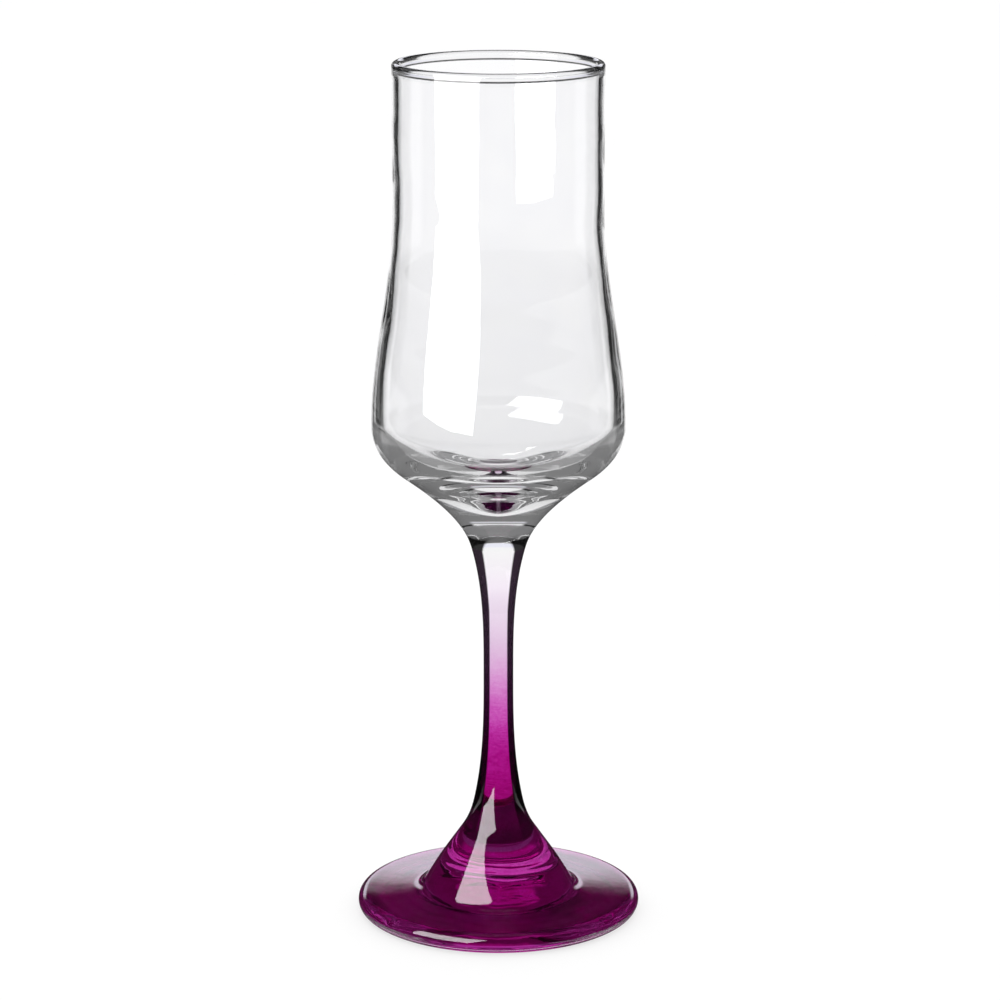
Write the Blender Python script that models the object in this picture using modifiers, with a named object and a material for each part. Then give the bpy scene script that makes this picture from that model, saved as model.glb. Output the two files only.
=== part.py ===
"""Champagne flute: a blown bowl, a drawn stem and a pressed foot, fused hot end to end.

Each piece is turned about its own Z axis and stands on the one below it, weld face to weld face.
Lengths are in metres, +Z is up, and the origin is the centre of the ring that the foot stands on.
A flare is the growth of a radius with height: 0 is an upright wall, 1 a wall leaning out at 45 degrees.
"""

from collections import namedtuple
import math

import bpy

# Heights of the three pieces, each from its lower weld or the table to its upper end
FOOT_HEIGHT = 0.032
STEM_LENGTH = 0.065
BOWL_HEIGHT = 0.123

# The two welds, where neighbouring pieces share one radius and one flare
FOOT_WELD_RADIUS = 0.0058
FOOT_WELD_FLARE = -0.19
BOWL_WELD_RADIUS = 0.0070
BOWL_WELD_FLARE = 0.29

# Foot: a disc with a round edge, carrying a solid hub, hollowed below inside a resting ring
FOOT_RADIUS = 0.0364
FOOT_EDGE_THICKNESS = 0.0052
FOOT_TOP_RISE = 0.0004
HUB_TOE_RISE = 0.0019
HUB_TOE_RADIUS = 0.0191
HUB_TOE_FLARE = -0.58
HUB_FLANK_DROP = 0.0100
HUB_FLANK_RADIUS = 0.00945
HUB_FLANK_FLARE = -0.70
REST_RING_WIDTH = 0.0025
RECESS_DEPTH = 0.0012

# Stem: slimmest at its waist, measured up from the lower weld
STEM_RADIUS = 0.0038
STEM_WAIST_HEIGHT = 0.0320

# Bowl outside, heights measured up from the upper weld
SHOULDER_HEIGHT = 0.0190
SHOULDER_RADIUS = 0.0245
SHOULDER_FLARE = 1.40
BELLY_HEIGHT = 0.0313
BELLY_RADIUS = 0.0321
WAIST_DROP = 0.0370
RIM_RADIUS = 0.0264
LIP_THICKNESS = 0.0021

# Bowl inside: wall at the waist and at the belly, solid base up to the floor of the cavity and the
# floor's rounded corner, then the blunt point to which the floor sinks in the middle
WAIST_WALL = 0.00165
BELLY_WALL = 0.0028
LIP_BLEND = 0.0023
BASE_THICKNESS = 0.0186
CAVITY_CORNER_HEIGHT = 0.0150
CAVITY_SQUARENESS = 2.1
POINT_DEPTH = 0.0042
POINT_RADIUS = 0.0102
POINT_POWER = 1.6
POINT_BLEND = 0.0007

# Fineness of the turned surfaces
TURN_STEPS = 48
CURVE_STEPS = 8
CAVITY_STEPS = 20
ARC_STEPS = 8
FILLET_STEPS = 4
RECESS_STEPS = 6
MERGE_DISTANCE = 0.000001
SHARP_ANGLE = math.radians(40)

# Finish: linear colours
CLEAR_GLASS = (0.95, 0.96, 0.97, 1.0)
FADING_MAGENTA = (0.62, 0.12, 0.50, 1.0)
DEEP_MAGENTA = (0.30, 0.01, 0.22, 1.0)
GLASS_ROUGHNESS = 0.02
GLASS_IOR = 1.52

Station = namedtuple("Station", "radius height flare")


def clear_scene():
    """Remove whatever the file already holds."""
    for item in list(bpy.data.objects):
        bpy.data.objects.remove(item, do_unlink=True)


def glass(name, colour):
    """Clear or tinted glass with a polished surface."""
    material = bpy.data.materials.new(name)
    material.use_nodes = True
    shader = material.node_tree.nodes["Principled BSDF"]
    shader.inputs["Base Color"].default_value = colour
    shader.inputs["Roughness"].default_value = GLASS_ROUGHNESS
    shader.inputs["Metallic"].default_value = 0.0
    shader.inputs["IOR"].default_value = GLASS_IOR
    shader.inputs["Transmission Weight"].default_value = 1.0
    return material


def flowing(stations, steps=CURVE_STEPS):
    """Points through a chain of stations; between two of them the radius is a cubic of the height."""
    points = [(stations[0].radius, stations[0].height)]
    for start, end in zip(stations, stations[1:]):
        rise = end.height - start.height
        for step in range(1, steps + 1):
            t = step / steps
            radius = (
                (1 + 2 * t) * (1 - t) ** 2 * start.radius
                + t * (1 - t) ** 2 * rise * start.flare
                + t * t * (3 - 2 * t) * end.radius
                - t * t * (1 - t) * rise * end.flare
            )
            points.append((radius, start.height + rise * t))
    return points


def arc(centre_radius, centre_height, size, start_angle, end_angle, steps=ARC_STEPS):
    """Points along a circular arc of the profile, angles in degrees from straight outwards."""
    points = []
    for step in range(steps + 1):
        angle = math.radians(start_angle + (end_angle - start_angle) * step / steps)
        points.append((centre_radius + size * math.cos(angle), centre_height + size * math.sin(angle)))
    return points


def fillet(start, corner, end, steps=FILLET_STEPS):
    """Points of the curve that leaves start towards the corner and arrives at end from it."""
    points = []
    for step in range(steps + 1):
        t = step / steps
        weights = ((1 - t) ** 2, 2 * t * (1 - t), t * t)
        points.append(tuple(
            sum(weight * point[axis] for weight, point in zip(weights, (start, corner, end)))
            for axis in (0, 1)
        ))
    return points


def cavity_bottom(radius, corner_height, floor_height):
    """Points of the cavity's bottom, a superellipse from the axis out to the wall, sunk to a blunt point."""
    points = []
    power = 2 / CAVITY_SQUARENESS
    for step in range(CAVITY_STEPS + 1):
        angle = math.pi / 2 * step / CAVITY_STEPS
        out = radius * math.sin(angle) ** power
        down = max(0.0, math.cos(angle)) ** power
        sink = POINT_DEPTH * (1 - (out / POINT_RADIUS) ** POINT_POWER)
        blended_sink = POINT_BLEND * math.log1p(math.exp(sink / POINT_BLEND))
        points.append((out, floor_height + corner_height * (1 - down) - blended_sink))
    return points


def turn(name, profile, material, collection, height):
    """Turn a profile about Z into a closed solid whose lower end stands at the given height."""
    outline = bpy.data.meshes.new(name)
    vertices = [(radius, 0.0, level) for radius, level in profile]
    outline.from_pydata(vertices, [(i, i + 1) for i in range(len(vertices) - 1)], [])
    piece = bpy.data.objects.new(name, outline)
    collection.objects.link(piece)
    screw = piece.modifiers.new("turn", "SCREW")
    screw.axis = "Z"
    screw.angle = math.tau
    screw.steps = TURN_STEPS
    screw.render_steps = TURN_STEPS
    screw.use_merge_vertices = True
    screw.merge_threshold = MERGE_DISTANCE
    view = bpy.context.evaluated_depsgraph_get()
    turned = bpy.data.meshes.new_from_object(piece.evaluated_get(view))
    piece.modifiers.clear()
    piece.data = turned
    bpy.data.meshes.remove(outline)
    turned.name = name
    turned.shade_smooth()
    turned.set_sharp_from_angle(angle=SHARP_ANGLE)
    turned.materials.append(material)
    piece.location.z = height
    return piece


def foot_profile():
    """From the weld down the hub, out over the disc, round its edge and in along the underside."""
    edge_size = FOOT_EDGE_THICKNESS / 2
    edge_centre = FOOT_RADIUS - edge_size
    top_height = FOOT_EDGE_THICKNESS + FOOT_TOP_RISE
    weld = Station(FOOT_WELD_RADIUS, FOOT_HEIGHT, FOOT_WELD_FLARE)
    flank = Station(HUB_FLANK_RADIUS, FOOT_HEIGHT - HUB_FLANK_DROP, HUB_FLANK_FLARE)
    toe = Station(HUB_TOE_RADIUS, top_height + HUB_TOE_RISE, HUB_TOE_FLARE)
    corner_radius = toe.radius - toe.flare * HUB_TOE_RISE
    fillet_reach = math.hypot(corner_radius - toe.radius, HUB_TOE_RISE)
    hub = flowing([weld, flank, toe])
    root = fillet(hub[-1], (corner_radius, top_height), (corner_radius + fillet_reach, top_height))
    edge = arc(edge_centre, edge_size, edge_size, 90, -90)
    ring_inner = edge_centre - REST_RING_WIDTH
    recess = []
    for step in range(RECESS_STEPS + 1):
        share = 1 - step / RECESS_STEPS
        recess.append((ring_inner * share, RECESS_DEPTH * (1 - share * share)))
    return [(0.0, FOOT_HEIGHT)] + hub + root[1:] + edge + recess


def stem_profile():
    """From the upper weld face down past the slim waist to the lower weld face."""
    top = Station(BOWL_WELD_RADIUS, STEM_LENGTH, BOWL_WELD_FLARE)
    waist = Station(STEM_RADIUS, STEM_WAIST_HEIGHT, 0.0)
    bottom = Station(FOOT_WELD_RADIUS, 0.0, FOOT_WELD_FLARE)
    return [(0.0, STEM_LENGTH)] + flowing([top, waist, bottom]) + [(0.0, 0.0)]


def bowl_profile():
    """Up the inside from the cavity's floor, over the round lip and down the outside to the weld."""
    lip_size = LIP_THICKNESS / 2
    lip_height = BOWL_HEIGHT - lip_size
    waist_height = BOWL_HEIGHT - WAIST_DROP
    inner_waist = RIM_RADIUS - WAIST_WALL
    inner_belly = BELLY_RADIUS - BELLY_WALL
    bottom = cavity_bottom(inner_belly, CAVITY_CORNER_HEIGHT, BASE_THICKNESS)
    inner_wall = flowing([
        Station(inner_belly, BASE_THICKNESS + CAVITY_CORNER_HEIGHT, 0.0),
        Station(inner_waist, waist_height, 0.0),
    ])
    neck = flowing([
        Station(inner_waist, BOWL_HEIGHT - LIP_BLEND, 0.0),
        Station(RIM_RADIUS - LIP_THICKNESS, lip_height, 0.0),
    ], FILLET_STEPS)
    lip = arc(RIM_RADIUS - lip_size, lip_height, lip_size, 180, 0)
    outer_wall = flowing([
        Station(RIM_RADIUS, waist_height, 0.0),
        Station(BELLY_RADIUS, BELLY_HEIGHT, 0.0),
        Station(SHOULDER_RADIUS, SHOULDER_HEIGHT, SHOULDER_FLARE),
        Station(BOWL_WELD_RADIUS, 0.0, BOWL_WELD_FLARE),
    ])
    return bottom + inner_wall[1:] + neck + lip[1:] + outer_wall + [(0.0, 0.0)]


def build():
    """Foot on the table, stem on the foot's hub and bowl on the stem."""
    clear_scene()
    glass_pieces = bpy.data.collections.new("champagne_glass")
    bpy.context.scene.collection.children.link(glass_pieces)
    turn("foot", foot_profile(), glass("magenta_glass", DEEP_MAGENTA), glass_pieces, 0.0)
    turn("stem", stem_profile(), glass("fading_glass", FADING_MAGENTA), glass_pieces, FOOT_HEIGHT)
    turn("bowl", bowl_profile(), glass("clear_glass", CLEAR_GLASS), glass_pieces, FOOT_HEIGHT + STEM_LENGTH)


build()
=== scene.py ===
# %% [markdown]
# # A champagne flute with a magenta foot
# The glass is three gathers of clear glass fused end to end: a blown bowl, a drawn stem and a pressed
# foot. A translucent magenta lacquer is sprayed on the foot and fades out up the stem. Clear glass has
# hardly a colour of its own: what the eye sees is mostly the room, bent by the outer and inner surfaces.
# The dark sides and the lip's dark lines are painted shade in the glass's colour. So this lesson spends
# its effort on true surfaces, and on a small studio for them to bend.

# %% Load the measured solids as a fixed frame
import math

import bpy
import numpy as np
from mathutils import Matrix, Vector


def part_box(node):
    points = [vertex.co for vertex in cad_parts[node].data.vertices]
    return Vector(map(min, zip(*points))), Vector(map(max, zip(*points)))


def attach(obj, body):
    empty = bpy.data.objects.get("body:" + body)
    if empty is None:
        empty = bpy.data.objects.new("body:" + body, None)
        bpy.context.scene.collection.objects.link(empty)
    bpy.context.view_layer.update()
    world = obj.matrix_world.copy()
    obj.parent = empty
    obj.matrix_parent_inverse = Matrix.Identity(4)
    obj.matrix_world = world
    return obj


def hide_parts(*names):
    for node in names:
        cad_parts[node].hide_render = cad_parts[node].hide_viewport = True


MM = 0.001
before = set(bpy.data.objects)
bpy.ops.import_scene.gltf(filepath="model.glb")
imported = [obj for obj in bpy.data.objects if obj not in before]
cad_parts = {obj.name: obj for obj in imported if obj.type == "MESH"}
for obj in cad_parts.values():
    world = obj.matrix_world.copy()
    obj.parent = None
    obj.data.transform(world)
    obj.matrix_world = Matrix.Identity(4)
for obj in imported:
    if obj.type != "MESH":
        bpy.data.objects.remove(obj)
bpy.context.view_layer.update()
_, foot_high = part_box("foot")
_, stem_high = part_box("stem")
_, bowl_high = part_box("bowl")
print("nodes", sorted(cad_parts), "height in mm", round(bowl_high[2] / MM, 2))

# %% [markdown]
# ## Camera
# The rim and the foot are circles, and how flat their ellipses look fixes the camera: it stands 870 mm
# in front of the axis and 320.5 mm above the table, looking 13.7 degrees down through a long lens. A
# camera could also be aimed by a constraint, but plain numbers keep the measured pose.

# %% Camera
CAMERA_DISTANCE = 870 * MM
CAMERA_HEIGHT = 320.5 * MM
CAMERA_SIDE = 0.4 * MM
CAMERA_PITCH = math.radians(13.67)
LENS_MM = 127.1
SENSOR_MM = 36.0

camera = bpy.data.objects.new("camera", bpy.data.cameras.new("camera"))
camera.data.lens = LENS_MM
camera.data.sensor_width = SENSOR_MM
camera.location = (CAMERA_SIDE, -CAMERA_DISTANCE, CAMERA_HEIGHT)
camera.rotation_euler = (math.pi / 2 - CAMERA_PITCH, 0.0, 0.0)
bpy.context.scene.collection.objects.link(camera)
bpy.context.scene.camera = camera
print("camera lens", camera.data.lens)

# %% [markdown]
# ## Turned surfaces
# Every piece is a profile carried round the axis. A Screw modifier could turn it, but a grid of profile
# points and angles lets each ring have its own small waves and its own finish. The long flowing
# stretches are cubics through a few stations, each with a radius, a height and a flare, the growth of
# radius with height.

# %% Profile helpers
def flowing(stations, steps):
    """Radius as a cubic of height between stations (radius, height, flare), sampled evenly in height.

    With t from 0 to 1 between two stations a rise h apart:
    r = (1+2t)(1-t)^2 r0 + t(1-t)^2 h f0 + t^2(3-2t) r1 - t^2(1-t) h f1.
    """
    t = np.linspace(0.0, 1.0, steps + 1)
    runs = []
    for (r0, z0, f0), (r1, z1, f1) in zip(stations, stations[1:]):
        h = z1 - z0
        r = ((1 + 2 * t) * (1 - t) ** 2 * r0 + t * (1 - t) ** 2 * h * f0
             + t ** 2 * (3 - 2 * t) * r1 - t ** 2 * (1 - t) * h * f1)
        runs.append(np.column_stack([r, z0 + h * t])[(1 if runs else 0):])
    return np.vstack(runs)


def arc(centre, size, start, end, steps):
    """Part of a circle in the profile: centre + size (cos a, sin a), a in degrees from start to end."""
    a = np.radians(np.linspace(start, end, steps + 1))
    return np.column_stack([centre[0] + size * np.cos(a), centre[1] + size * np.sin(a)])


def fillet(start, corner, end, steps):
    """A quadratic blend: (1-t)^2 start + 2t(1-t) corner + t^2 end."""
    t = np.linspace(0.0, 1.0, steps + 1)[:, None]
    return (1 - t) ** 2 * np.array(start) + 2 * t * (1 - t) * np.array(corner) + t ** 2 * np.array(end)


def line(start, end, steps):
    """Evenly spaced points from start to end, without the first."""
    t = np.linspace(0.0, 1.0, steps + 1)[1:, None]
    return (1 - t) * np.array(start) + t * np.array(end)


print("a test arc from 0 to 90 degrees ends at", arc((0.0, 0.0), 1.0, 0, 90, steps=4)[-1].round(3))

# %% Turning a profile into a closed mesh
AROUND = 288
SHARP_ANGLE = math.radians(35)
OUTSIDE, WELD, UNDERSIDE = 0, 1, 2  # places in each piece's list of materials


def joined(*runs):
    """One profile from runs of (points, finish), and the finish of the stretch that ends at each point."""
    points = np.vstack([points for points, _ in runs])
    finish = np.concatenate([np.full(len(points), finish) for points, finish in runs])
    return points, finish[1:]


def turned(name, profile, finish, waves=None):
    """A closed surface of revolution from a profile that starts and ends on the axis.

    Point (i, j) is (r_i cos a_j, r_i sin a_j, z_i), a_j = 2 pi j / AROUND, and waves(angle, r, z) may add
    small changes to r and z. The two ends close on the axis as fans. finish numbers each ring's material.
    """
    angle = np.arange(AROUND) * (2 * math.pi / AROUND)
    r = np.repeat(profile[1:-1, :1], AROUND, axis=1)
    z = np.repeat(profile[1:-1, 1:], AROUND, axis=1)
    if waves is not None:
        dr, dz = waves(angle[None, :], r, z)
        r, z = r + dr, z + dz
    grid = np.stack([r * np.cos(angle), r * np.sin(angle), z], axis=-1).reshape(-1, 3)
    ends = np.array([[0.0, 0.0, profile[0, 1]], [0.0, 0.0, profile[-1, 1]]])
    rows = len(r)
    i, j = np.meshgrid(np.arange(rows - 1), np.arange(AROUND), indexing="ij")
    k = (j + 1) % AROUND
    quads = np.stack([i * AROUND + j, (i + 1) * AROUND + j, (i + 1) * AROUND + k, i * AROUND + k], -1)
    j = np.arange(AROUND)
    k = (j + 1) % AROUND
    first, last = rows * AROUND, rows * AROUND + 1
    tip = np.stack([np.full(AROUND, first), j, k], -1)
    tail = np.stack([np.full(AROUND, last), (rows - 1) * AROUND + k, (rows - 1) * AROUND + j], -1)
    mesh = bpy.data.meshes.new(name)
    faces = quads.reshape(-1, 4).tolist() + tip.tolist() + tail.tolist()
    mesh.from_pydata(np.vstack([grid, ends]).tolist(), [], faces)
    rings = np.concatenate([finish[1:-1], finish[:1], finish[-1:]])
    mesh.polygons.foreach_set("material_index", np.repeat(rings, AROUND).astype(np.int32))
    mesh.shade_smooth()
    mesh.set_sharp_from_angle(angle=SHARP_ANGLE)
    piece = bpy.data.objects.new(name, mesh)
    bpy.context.scene.collection.objects.link(piece)
    print(name, rows, "rings", len(faces), "faces")
    return piece


print("pieces are turned in", AROUND, "steps")

# %% [markdown]
# ## Bowl
# The outside runs from a straight collar through a slight waist into a belly, then turns in sharply
# under it to the weld on the stem. The inside follows it at a wall that thickens downwards, and ends in
# a round floor high above the weld, which sinks to a blunt point in the middle. A heavy cone of solid
# glass is left below. A Solidify modifier could make the wall, but it gives one thickness everywhere,
# so both sides are drawn in one closed profile.

# %% Bowl sizes
WELD_TOP = stem_high[2]
WELD_LOW = foot_high[2]
RIM_TOP = bowl_high[2]
BELLY_RADIUS = bowl_high[0]
RIM_RADIUS = 26.4 * MM
BOWL_WELD_RADIUS = stem_high[0]
BOWL_WELD_FLARE = 0.29
LIP = 1.05 * MM
NECK = 2.3 * MM
WAIST_Z = RIM_TOP - 37.0 * MM
BELLY_Z = WELD_TOP + 31.3 * MM
SHOULDER = (24.5 * MM, WELD_TOP + 19.0 * MM, 1.40)
WAIST_WALL = 1.65 * MM
BELLY_WALL = 2.8 * MM
FLOOR_Z = WELD_TOP + 18.6 * MM
CORNER_HEIGHT = 15.0 * MM
SQUARENESS = 2.1
POINT_DEPTH = 4.2 * MM
POINT_RADIUS = 10.2 * MM
POINT_POWER = 1.6
POINT_BLEND = 0.7 * MM
print("bowl from", round(WELD_TOP / MM, 1), "to", round(RIM_TOP / MM, 1), "mm")

# %% Bowl profile
POINT_STEPS, CORNER_STEPS = 30, 40
WALL_STEPS, STRAIGHT_STEPS = 36, 24


def cavity_bottom(radius):
    """The height of the cavity's bottom over its radius r, out to the radius R that is given.

    The floor is a superellipse, FLOOR_Z + CORNER_HEIGHT (1 - (1 - (r/R)^n)^(1/n)). In the middle it
    sinks to a blunt point by d = POINT_DEPTH (1 - (r/POINT_RADIUS)^p), rounded at its edge as
    s ln(1 + exp(d/s)). Here n is SQUARENESS, p is POINT_POWER and s is POINT_BLEND.
    """
    edge = math.asin((POINT_RADIUS / radius) ** (SQUARENESS / 2))
    turn = np.linspace(edge, math.pi / 2, CORNER_STEPS + 1)[1:]
    r = np.concatenate([np.linspace(0.0, POINT_RADIUS, POINT_STEPS + 1),
                        radius * np.sin(turn) ** (2 / SQUARENESS)])
    rise = CORNER_HEIGHT * (1 - np.clip(1 - (r / radius) ** SQUARENESS, 0, 1) ** (1 / SQUARENESS))
    sink = POINT_DEPTH * (1 - (r / POINT_RADIUS) ** POINT_POWER)
    return np.column_stack([r, FLOOR_Z + rise - POINT_BLEND * np.logaddexp(0, sink / POINT_BLEND)])


def bowl_profile():
    """Up the inside from the floor, over the round lip, down the outside, and in along the weld."""
    inner_belly, inner_waist = BELLY_RADIUS - BELLY_WALL, RIM_RADIUS - WAIST_WALL
    bottom = cavity_bottom(inner_belly)
    inside = flowing([
        (inner_belly, FLOOR_Z + CORNER_HEIGHT, 0.0),
        (inner_waist, WAIST_Z, 0.0),
    ], steps=WALL_STEPS)
    neck = flowing([
        (inner_waist, RIM_TOP - NECK, 0.0),
        (RIM_RADIUS - 2 * LIP, RIM_TOP - LIP, 0.0),
    ], steps=8)
    lip = arc((RIM_RADIUS - LIP, RIM_TOP - LIP), LIP, 180, 0, steps=20)
    outside = flowing([
        (RIM_RADIUS, WAIST_Z, 0.0),
        (BELLY_RADIUS, BELLY_Z, 0.0),
        SHOULDER,
        (BOWL_WELD_RADIUS, WELD_TOP, BOWL_WELD_FLARE),
    ], steps=WALL_STEPS)
    collar = line(lip[-1], outside[0], steps=20)
    straight = line(inside[-1], neck[0], steps=STRAIGHT_STEPS)
    weld = line(outside[-1], (0.0, WELD_TOP), steps=4)
    return joined((bottom, OUTSIDE), (inside[1:], OUTSIDE), (straight, OUTSIDE), (neck[1:], OUTSIDE),
                  (lip[1:], OUTSIDE), (collar, OUTSIDE), (outside[1:], OUTSIDE), (weld, WELD))


print("bowl profile", len(bowl_profile()[0]), "points")

# %% Blown waves, and the bowl
# Only the outside touched the mould, so the inside has shallow waves from blowing. Each line says how
# high a wave is, how long, how far it follows the drift round the bowl, and where it starts.
INNER_RINGS = POINT_STEPS + CORNER_STEPS + WALL_STEPS + STRAIGHT_STEPS
WAVE_FADE = 14 * MM
LIP_CLEAR = 6 * MM
BLOWN_WAVES = (
    (0.10 * MM, 31 * MM, 1.0, 0.0),
    (0.03 * MM, 17 * MM, -1.6, 2.0),
    (0.01 * MM, 9 * MM, 2.3, 0.0),
)


def blown_waves(angle, r, z):
    """Waves of the inner wall: the sum of high sin(2 pi z / long + sway drift + start).

    The drift is two slow sines of the angle. The waves fade in above the floor's corner and out below
    the lip, and only the rings of the inner wall have them.
    """
    inner = np.arange(len(r))[:, None] < INNER_RINGS
    above_floor = np.clip((z - FLOOR_Z - CORNER_HEIGHT) / WAVE_FADE, 0, 1)
    below_lip = np.clip((RIM_TOP - LIP_CLEAR - z) / WAVE_FADE, 0, 1)
    drift = 0.9 * np.sin(angle + 0.6) + 0.5 * np.sin(2 * angle - 1.0)
    wave = sum(high * np.sin(2 * math.pi * z / long + sway * drift + start)
               for high, long, sway, start in BLOWN_WAVES)
    return wave * above_floor * below_lip * inner, np.zeros_like(z)


bowl = turned("bowl_glass", *bowl_profile(), blown_waves)

# %% [markdown]
# ## Stem
# A solid rod, slimmest a little below its middle, that flares into the bowl above and the hub below. It
# could be a tapered curve with a round bevel, but the same cubic as on the bowl makes both flares meet
# their neighbours without a kink.

# %% Stem
STEM_RADIUS = 3.8 * MM
STEM_WAIST_Z = WELD_LOW + 32.0 * MM
FOOT_WELD_RADIUS = 5.8 * MM
FOOT_WELD_FLARE = -0.19


def stem_profile():
    """Out along the upper weld, down the waisted side and in along the lower weld."""
    side = flowing([
        (BOWL_WELD_RADIUS, WELD_TOP, BOWL_WELD_FLARE),
        (STEM_RADIUS, STEM_WAIST_Z, 0.0),
        (FOOT_WELD_RADIUS, WELD_LOW, FOOT_WELD_FLARE),
    ], steps=40)
    top = line((0.0, WELD_TOP), side[0], steps=4)
    low = line(side[-1], (0.0, WELD_LOW), steps=4)
    return joined(([(0.0, WELD_TOP)], WELD), (top, WELD), (side[1:], OUTSIDE), (low, WELD))


stem = turned("stem_glass", *stem_profile())

# %% [markdown]
# ## Foot
# A disc with a round edge carries a solid hub, almost a straight cone, with a small fillet at its root.
# Below, the disc stands on a narrow ring, and inside the ring the glass is hollowed a little. The press
# chills that face first, which leaves it faintly wrinkled. A bevelled cylinder and a cone could be
# joined, but one profile has no seam. The edge is drawn in two halves, because the lower one is bare.

# %% Foot
FOOT_RADIUS = foot_high[0]
EDGE = 2.6 * MM
TOP_RISE = 0.4 * MM
TOE_RISE = 1.9 * MM
TOE_RADIUS = 19.1 * MM
TOE_FLARE = -0.58
FLANK = (9.45 * MM, WELD_LOW - 10.0 * MM, -0.70)
RING_WIDTH = 2.5 * MM
HOLLOW_DEPTH = 1.2 * MM
HOLLOW_STEPS = 60


def foot_profile():
    """From the weld down the hub, over the disc, round its edge and in along the underside.

    The hollow rises from the ring to the axis as HOLLOW_DEPTH (1 - s^2), s the share of its radius.
    """
    top_z = 2 * EDGE + TOP_RISE
    hub = flowing([
        (FOOT_WELD_RADIUS, WELD_LOW, FOOT_WELD_FLARE),
        FLANK,
        (TOE_RADIUS, top_z + TOE_RISE, TOE_FLARE),
    ], steps=30)
    corner = (TOE_RADIUS - TOE_FLARE * TOE_RISE, top_z)
    reach = math.hypot(corner[0] - TOE_RADIUS, TOE_RISE)
    root = fillet(hub[-1], corner, (corner[0] + reach, top_z), steps=10)
    edge = arc((FOOT_RADIUS - EDGE, EDGE), EDGE, 90, 0, steps=14)
    edge_below = arc((FOOT_RADIUS - EDGE, EDGE), EDGE, 0, -90, steps=14)
    disc = line(root[-1], edge[0], steps=12)
    ring = line(edge_below[-1], (FOOT_RADIUS - EDGE - RING_WIDTH, 0.0), steps=4)
    share = np.linspace(1.0, 0.0, HOLLOW_STEPS + 1)[1:]
    hollow = np.column_stack([ring[-1, 0] * share, HOLLOW_DEPTH * (1 - share ** 2)])
    weld = line((0.0, WELD_LOW), hub[0], steps=4)
    return joined(([(0.0, WELD_LOW)], WELD), (weld, WELD), (hub[1:], OUTSIDE), (root[1:], OUTSIDE),
                  (disc, OUTSIDE), (edge[1:], OUTSIDE), (edge_below[1:], UNDERSIDE), (ring, UNDERSIDE),
                  (hollow, UNDERSIDE))


print("foot profile", len(foot_profile()[0]), "points")

# %% Chill wrinkles, and the foot
# The hollow's first ring, beside the resting ring, stays smooth, and its last point is on the axis.
HOLLOW_RINGS = HOLLOW_STEPS - 2
WRINKLE_HEIGHT = 0.03 * MM
WRINKLE, SLOW_WRINKLE = 4.1 * MM, 6.3 * MM
CALM_RADIUS = 4 * MM


def chill_wrinkles(angle, r, z):
    """Wrinkles of the hollow: two sines of the radius, whose phase wanders with the angle.

    They fade out towards the axis, where the rings are too small for them.
    """
    hollow = (np.arange(len(r))[:, None] >= len(r) - HOLLOW_RINGS) * np.clip(r / CALM_RADIUS, 0, 1)
    wander = 1.5 * np.sin(2 * angle + 0.4) + np.sin(5 * angle) + 0.8 * np.sin(9 * angle + 1.0)
    wave = (np.sin(2 * math.pi * r / WRINKLE + wander)
            + 0.7 * np.sin(2 * math.pi * r / SLOW_WRINKLE - 0.7 * wander + 1.0))
    return np.zeros_like(r), WRINKLE_HEIGHT * wave * hollow


foot = turned("foot_glass", *foot_profile(), chill_wrinkles)

# %% [markdown]
# ## Glass and lacquer
# Soda-lime glass bends light with an index of about 1.52 and is nearly colourless. The lacquer is a dye
# in a clear varnish, so it colours light that passes and leaves reflections white. Both are drawn with
# the Principled shader at full transmission. Thin walls and flat sheets could be faked with a see-through
# shader, but the heavy base, the stem and the hub are lenses, so the light is really bent.

# %% Material helpers
def linear(hex_colour):
    """A colour written as sRGB hex, turned to linear red, green, blue and an alpha of 1."""
    value = np.array([int(hex_colour[i:i + 2], 16) for i in (1, 3, 5)]) / 255.0
    value = np.where(value <= 0.04045, value / 12.92, ((value + 0.055) / 1.055) ** 2.4)
    return (*value, 1.0)


def add(tree, kind, feeds=None, **settings):
    """Add a node with its settings. feeds gives inputs, by name or number, an output or a fixed value.

    A Mix node is fed by number: 0 is the share, 2 and 3 are its two numbers, 6 and 7 its two colours.
    """
    node = tree.nodes.new(kind)
    for key, value in settings.items():
        setattr(node, key, value)
    for key, value in (feeds or {}).items():
        if isinstance(value, bpy.types.NodeSocket):
            tree.links.new(value, node.inputs[key])
        else:
            node.inputs[key].default_value = value
    return node


def new_material(name):
    """An empty node material and its output node."""
    material = bpy.data.materials.new(name)
    material.use_nodes = True
    material.node_tree.nodes.clear()
    return material, material.node_tree.nodes.new("ShaderNodeOutputMaterial")


print("the middle grey #808080 is", round(float(linear("#808080")[0]), 3), "in linear light")
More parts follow.
